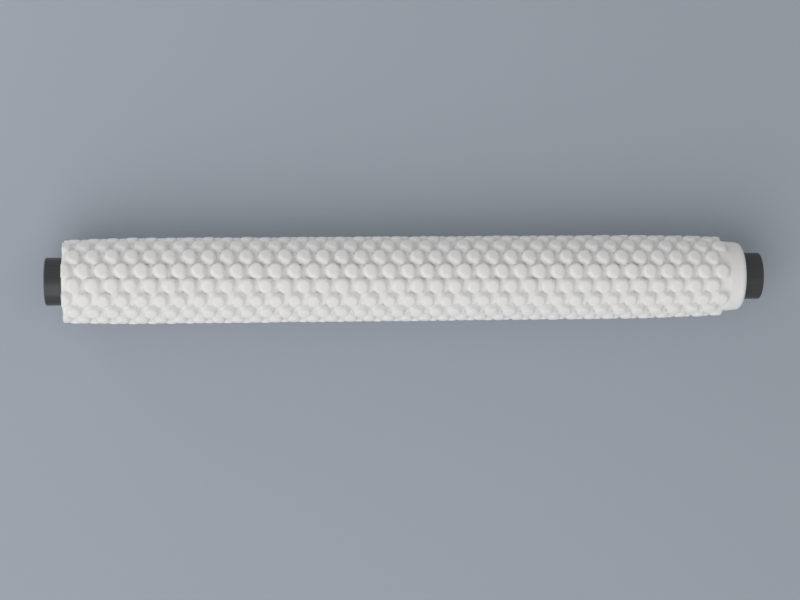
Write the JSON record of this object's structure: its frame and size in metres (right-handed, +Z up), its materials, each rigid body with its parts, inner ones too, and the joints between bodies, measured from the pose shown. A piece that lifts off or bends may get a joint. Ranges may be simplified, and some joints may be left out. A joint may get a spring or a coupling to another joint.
{
  "type": "sponge roller",
  "caption": "Cylindrical sponge roller: a soft white sleeve covered in nodules, pushed over a stiff dark plastic core tube with an open bore.",
  "frame": {"origin": "on the axis of the bore, half way along the core tube", "axes": "+X along the roller towards the smooth end of the sleeve, +Z up from the flat spot that the roller rests on"},
  "size_m": [0.38, 0.0454, 0.0447],
  "materials": {
    "core_plastic": "semi-matt dark grey extruded pipe",
    "sponge": "matt white fine-pored sponge"
  },
  "bodies": {
    "root": {"core_tube": "core_plastic", "sponge_sleeve": "sponge"}
  },
  "joints": []
}
